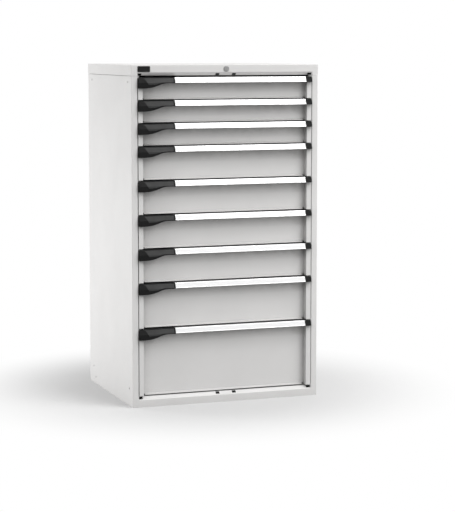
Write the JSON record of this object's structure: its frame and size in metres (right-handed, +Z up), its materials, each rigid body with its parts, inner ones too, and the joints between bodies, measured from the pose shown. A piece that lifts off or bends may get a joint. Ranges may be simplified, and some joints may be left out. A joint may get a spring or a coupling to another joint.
{
  "type": "multi-drawer cabinet",
  "caption": "Tall steel drawer cabinet with recessed fronts, full-width handles with release levers, telescopic rails and a central lock.",
  "frame": {"origin": "middle of the cabinet's footprint, handles included, on the floor", "axes": "+Z up, +X to the right seen from the front, +Y to the back; the drawers slide out along -Y"},
  "size_m": [0.8724, 0.718, 1.5],
  "materials": {
    "enamel": "light warm grey powder coat, fine texture, semi-matt",
    "zinc": "zinc-plated folded steel",
    "handle_metal": "matt anodised extrusion",
    "grip_black": "fine-grained moulding",
    "lever_grey": "fine-grained moulding",
    "plug_black": "moulded plug",
    "lock_metal": "plated zinc die casting"
  },
  "bodies": {
    "housing": {"side_panel_left": "enamel", "side_panel_right": "enamel", "back_panel": "enamel", "base": "enamel", "top_cap": "enamel", "uprights": "zinc", "cabinet_rails_left": "zinc", "cabinet_rails_right": "zinc", "slot_plugs": "plug_black", "lock_rosette": "lock_metal", "lock_nut": "zinc"},
    "lock_core": {"lock_cylinder": "lock_metal", "lock_cam": "zinc"},
    "lock_link": {"lock_link": "zinc"},
    "lock_bar": {"lock_bar": "zinc"},
    "drawer_1": {"drawer_1_tray": "enamel", "drawer_1_handle": "handle_metal", "drawer_1_caps": "grip_black"},
    "runners_1": {"drawer_1_runners": "zinc"},
    "lever_1": {"drawer_1_lever": "lever_grey"},
    "drawer_2": {"drawer_2_tray": "enamel", "drawer_2_handle": "handle_metal", "drawer_2_caps": "grip_black"},
    "runners_2": {"drawer_2_runners": "zinc"},
    "lever_2": {"drawer_2_lever": "lever_grey"},
    "drawer_3": {"drawer_3_tray": "enamel", "drawer_3_handle": "handle_metal", "drawer_3_caps": "grip_black"},
    "runners_3": {"drawer_3_runners": "zinc"},
    "lever_3": {"drawer_3_lever": "lever_grey"},
    "drawer_4": {"drawer_4_tray": "enamel", "drawer_4_handle": "handle_metal", "drawer_4_caps": "grip_black"},
    "runners_4": {"drawer_4_runners": "zinc"},
    "lever_4": {"drawer_4_lever": "lever_grey"},
    "drawer_5": {"drawer_5_tray": "enamel", "drawer_5_handle": "handle_metal", "drawer_5_caps": "grip_black"},
    "runners_5": {"drawer_5_runners": "zinc"},
    "lever_5": {"drawer_5_lever": "lever_grey"},
    "drawer_6": {"drawer_6_tray": "enamel", "drawer_6_handle": "handle_metal", "drawer_6_caps": "grip_black"},
    "runners_6": {"drawer_6_runners": "zinc"},
    "lever_6": {"drawer_6_lever": "lever_grey"},
    "drawer_7": {"drawer_7_tray": "enamel", "drawer_7_handle": "handle_metal", "drawer_7_caps": "grip_black"},
    "runners_7": {"drawer_7_runners": "zinc"},
    "lever_7": {"drawer_7_lever": "lever_grey"},
    "drawer_8": {"drawer_8_tray": "enamel", "drawer_8_handle": "handle_metal", "drawer_8_caps": "grip_black"},
    "runners_8": {"drawer_8_runners": "zinc"},
    "lever_8": {"drawer_8_lever": "lever_grey"},
    "drawer_9": {"drawer_9_tray": "enamel", "drawer_9_handle": "handle_metal", "drawer_9_caps": "grip_black"},
    "runners_9": {"drawer_9_runners": "zinc"},
    "lever_9": {"drawer_9_lever": "lever_grey"}
  },
  "joints": [
    {"name": "lock_bar_slide", "type": "slide", "parent": "housing", "child": "lock_bar", "axis": [0, 0, 1], "range_m": [0, 0.01414]},
    {"name": "lock_link_slide", "type": "slide", "parent": "housing", "child": "lock_link", "axis": [1, 0, 0], "range_m": [0, 0.01414]},
    {"name": "lock_cylinder_turn", "type": "hinge", "parent": "housing", "child": "lock_core", "pos_m": [0, -0.346, 1.482], "axis": [0, -1, 0], "range_deg": [0, 90.1]},
    {"name": "drawer_1_slide", "type": "slide", "parent": "housing", "child": "drawer_1", "axis": [0, -1, 0], "range_m": [0, 0.6]},
    {"name": "runners_1_slide", "type": "slide", "parent": "housing", "child": "runners_1", "axis": [0, -1, 0], "range_m": [0, 0.3]},
    {"name": "lever_1_pivot", "type": "hinge", "parent": "drawer_1", "child": "lever_1", "pos_m": [-0.312, -0.34774, 1.4406], "axis": [-1, 0, 0], "range_deg": [0, 20], "stiffness_Nm_per_rad": 0.05},
    {"name": "drawer_2_slide", "type": "slide", "parent": "housing", "child": "drawer_2", "axis": [0, -1, 0], "range_m": [0, 0.6]},
    {"name": "runners_2_slide", "type": "slide", "parent": "housing", "child": "runners_2", "axis": [0, -1, 0], "range_m": [0, 0.3]},
    {"name": "lever_2_pivot", "type": "hinge", "parent": "drawer_2", "child": "lever_2", "pos_m": [-0.312, -0.34774, 1.3406], "axis": [-1, 0, 0], "range_deg": [0, 20], "stiffness_Nm_per_rad": 0.05},
    {"name": "drawer_3_slide", "type": "slide", "parent": "housing", "child": "drawer_3", "axis": [0, -1, 0], "range_m": [0, 0.6]},
    {"name": "runners_3_slide", "type": "slide", "parent": "housing", "child": "runners_3", "axis": [0, -1, 0], "range_m": [0, 0.3]},
    {"name": "lever_3_pivot", "type": "hinge", "parent": "drawer_3", "child": "lever_3", "pos_m": [-0.312, -0.34774, 1.2406], "axis": [-1, 0, 0], "range_deg": [0, 20], "stiffness_Nm_per_rad": 0.05},
    {"name": "drawer_4_slide", "type": "slide", "parent": "housing", "child": "drawer_4", "axis": [0, -1, 0], "range_m": [0, 0.6]},
    {"name": "runners_4_slide", "type": "slide", "parent": "housing", "child": "runners_4", "axis": [0, -1, 0], "range_m": [0, 0.3]},
    {"name": "lever_4_pivot", "type": "hinge", "parent": "drawer_4", "child": "lever_4", "pos_m": [-0.312, -0.34774, 1.1406], "axis": [-1, 0, 0], "range_deg": [0, 20], "stiffness_Nm_per_rad": 0.05},
    {"name": "drawer_5_slide", "type": "slide", "parent": "housing", "child": "drawer_5", "axis": [0, -1, 0], "range_m": [0, 0.6]},
    {"name": "runners_5_slide", "type": "slide", "parent": "housing", "child": "runners_5", "axis": [0, -1, 0], "range_m": [0, 0.3]},
    {"name": "lever_5_pivot", "type": "hinge", "parent": "drawer_5", "child": "lever_5", "pos_m": [-0.312, -0.34774, 0.9906], "axis": [-1, 0, 0], "range_deg": [0, 20], "stiffness_Nm_per_rad": 0.05},
    {"name": "drawer_6_slide", "type": "slide", "parent": "housing", "child": "drawer_6", "axis": [0, -1, 0], "range_m": [0, 0.6]},
    {"name": "runners_6_slide", "type": "slide", "parent": "housing", "child": "runners_6", "axis": [0, -1, 0], "range_m": [0, 0.3]},
    {"name": "lever_6_pivot", "type": "hinge", "parent": "drawer_6", "child": "lever_6", "pos_m": [-0.312, -0.34774, 0.8406], "axis": [-1, 0, 0], "range_deg": [0, 20], "stiffness_Nm_per_rad": 0.05},
    {"name": "drawer_7_slide", "type": "slide", "parent": "housing", "child": "drawer_7", "axis": [0, -1, 0], "range_m": [0, 0.6]},
    {"name": "runners_7_slide", "type": "slide", "parent": "housing", "child": "runners_7", "axis": [0, -1, 0], "range_m": [0, 0.3]},
    {"name": "lever_7_pivot", "type": "hinge", "parent": "drawer_7", "child": "lever_7", "pos_m": [-0.312, -0.34774, 0.6906], "axis": [-1, 0, 0], "range_deg": [0, 20], "stiffness_Nm_per_rad": 0.05},
    {"name": "drawer_8_slide", "type": "slide", "parent": "housing", "child": "drawer_8", "axis": [0, -1, 0], "range_m": [0, 0.6]},
    {"name": "runners_8_slide", "type": "slide", "parent": "housing", "child": "runners_8", "axis": [0, -1, 0], "range_m": [0, 0.3]},
    {"name": "lever_8_pivot", "type": "hinge", "parent": "drawer_8", "child": "lever_8", "pos_m": [-0.312, -0.34774, 0.5406], "axis": [-1, 0, 0], "range_deg": [0, 20], "stiffness_Nm_per_rad": 0.05},
    {"name": "drawer_9_slide", "type": "slide", "parent": "housing", "child": "drawer_9", "axis": [0, -1, 0], "range_m": [0, 0.6]},
    {"name": "runners_9_slide", "type": "slide", "parent": "housing", "child": "runners_9", "axis": [0, -1, 0], "range_m": [0, 0.3]},
    {"name": "lever_9_pivot", "type": "hinge", "parent": "drawer_9", "child": "lever_9", "pos_m": [-0.312, -0.34774, 0.3406], "axis": [-1, 0, 0], "range_deg": [0, 20], "stiffness_Nm_per_rad": 0.05}
  ],
  "couplings": [
    {"joint": "lock_link_slide", "follows": "lock_bar_slide", "ratio": 1},
    {"joint": "lock_cylinder_turn", "follows": "lock_bar_slide", "rad_per_m": 111.08},
    {"joint": "runners_1_slide", "follows": "drawer_1_slide", "ratio": 0.5},
    {"joint": "runners_2_slide", "follows": "drawer_2_slide", "ratio": 0.5},
    {"joint": "runners_3_slide", "follows": "drawer_3_slide", "ratio": 0.5},
    {"joint": "runners_4_slide", "follows": "drawer_4_slide", "ratio": 0.5},
    {"joint": "runners_5_slide", "follows": "drawer_5_slide", "ratio": 0.5},
    {"joint": "runners_6_slide", "follows": "drawer_6_slide", "ratio": 0.5},
    {"joint": "runners_7_slide", "follows": "drawer_7_slide", "ratio": 0.5},
    {"joint": "runners_8_slide", "follows": "drawer_8_slide", "ratio": 0.5},
    {"joint": "runners_9_slide", "follows": "drawer_9_slide", "ratio": 0.5}
  ]
}
